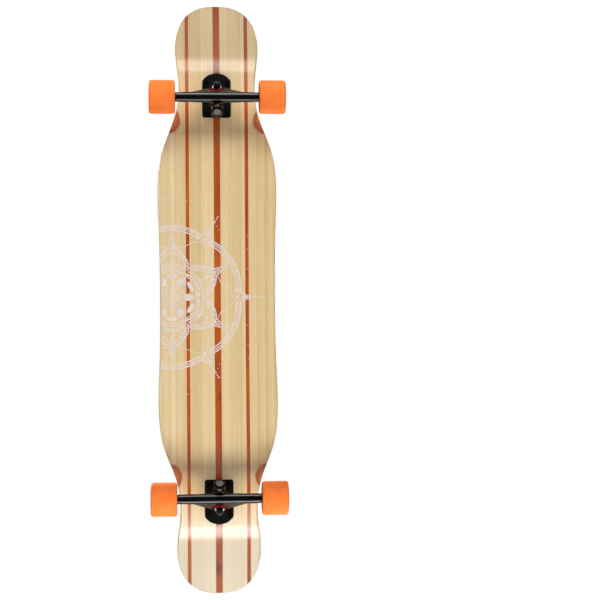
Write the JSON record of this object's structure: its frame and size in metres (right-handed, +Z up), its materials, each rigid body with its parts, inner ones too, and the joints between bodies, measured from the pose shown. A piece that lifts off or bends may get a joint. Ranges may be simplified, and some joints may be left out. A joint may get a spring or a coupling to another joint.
{
  "type": "dancing longboard",
  "caption": "Long double-kick skateboard with a bamboo deck, inlaid stringers, mint grip at both ends, black reverse-kingpin trucks and soft orange wheels.",
  "frame": {"origin": "on the ground under the middle of the deck", "axes": "+X to the nose, axles along Y with +Y on the rider's left, +Z up"},
  "size_m": [1.168, 0.265, 0.134],
  "materials": {
    "bamboo": "clear lacquered bamboo strips",
    "stringer_wood": "clear lacquered carbonised strip",
    "core_wood": "sanded laminate",
    "grip": "fine gritty mint sheet",
    "truck_black": "satin black powder coat",
    "black_steel": "black oxide",
    "steel": "bright zinc",
    "urethane_red": "smooth cast urethane",
    "wheel_orange": "matte cast urethane",
    "hub_plastic": "moulded nylon",
    "print_ink": "pale screen-printed ink under the lacquer"
  },
  "bodies": {
    "board": {"deck_core": "core_wood", "deck_bottom_ply": "bamboo", "deck_bottom_stringers": "stringer_wood", "deck_top_ply": "bamboo", "deck_top_stringers": "stringer_wood", "nose_grip": "grip", "tail_grip": "grip", "front_baseplate": "truck_black", "front_pivot_cup": "urethane_red", "front_kingpin": "black_steel", "front_kingpin_nut": "black_steel", "front_boardside_bushing": "urethane_red", "front_roadside_bushing": "urethane_red", "front_boardside_washer": "steel", "front_roadside_washer": "steel", "front_mounting_bolts": "black_steel", "front_mounting_nuts": "black_steel", "rear_baseplate": "truck_black", "rear_pivot_cup": "urethane_red", "rear_kingpin": "black_steel", "rear_kingpin_nut": "black_steel", "rear_boardside_bushing": "urethane_red", "rear_roadside_bushing": "urethane_red", "rear_boardside_washer": "steel", "rear_roadside_washer": "steel", "rear_mounting_bolts": "black_steel", "rear_mounting_nuts": "black_steel"},
    "front_hanger": {"front_hanger": "truck_black", "front_axle": "steel", "front_bearing_inner_races": "steel", "front_bearing_balls": "steel", "front_bearing_spacers": "steel", "front_speed_rings": "steel", "front_axle_nuts": "black_steel"},
    "rear_hanger": {"rear_hanger": "truck_black", "rear_axle": "steel", "rear_bearing_inner_races": "steel", "rear_bearing_balls": "steel", "rear_bearing_spacers": "steel", "rear_speed_rings": "steel", "rear_axle_nuts": "black_steel"},
    "front_left_wheel": {"front_left_tyre": "wheel_orange", "front_left_core": "hub_plastic", "front_left_bearing_outer_races": "steel"},
    "front_right_wheel": {"front_right_tyre": "wheel_orange", "front_right_core": "hub_plastic", "front_right_bearing_outer_races": "steel"},
    "rear_left_wheel": {"rear_left_tyre": "wheel_orange", "rear_left_core": "hub_plastic", "rear_left_bearing_outer_races": "steel"},
    "rear_right_wheel": {"rear_right_tyre": "wheel_orange", "rear_right_core": "hub_plastic", "rear_right_bearing_outer_races": "steel"}
  },
  "joints": [
    {"name": "front_steer", "type": "hinge", "parent": "board", "child": "front_hanger", "pos_m": [0.37779, 0, 0.0442], "axis": [0.7314, 0, 0.682], "range_deg": [-15, 15], "stiffness_Nm_per_rad": 40, "deforming": ["front_boardside_bushing", "front_roadside_bushing"]},
    {"name": "rear_steer", "type": "hinge", "parent": "board", "child": "rear_hanger", "pos_m": [-0.37779, 0, 0.0442], "axis": [-0.7314, 0, 0.682], "range_deg": [-15, 15], "stiffness_Nm_per_rad": 40, "deforming": ["rear_boardside_bushing", "rear_roadside_bushing"]},
    {"name": "front_left_roll", "type": "hinge", "parent": "front_hanger", "child": "front_left_wheel", "pos_m": [0.3887, 0, 0.0325], "axis": [0, 1, 0], "continuous": true},
    {"name": "front_right_roll", "type": "hinge", "parent": "front_hanger", "child": "front_right_wheel", "pos_m": [0.3887, 0, 0.0325], "axis": [0, 1, 0], "continuous": true},
    {"name": "rear_left_roll", "type": "hinge", "parent": "rear_hanger", "child": "rear_left_wheel", "pos_m": [-0.3887, 0, 0.0325], "axis": [0, 1, 0], "continuous": true},
    {"name": "rear_right_roll", "type": "hinge", "parent": "rear_hanger", "child": "rear_right_wheel", "pos_m": [-0.3887, 0, 0.0325], "axis": [0, 1, 0], "continuous": true}
  ]
}
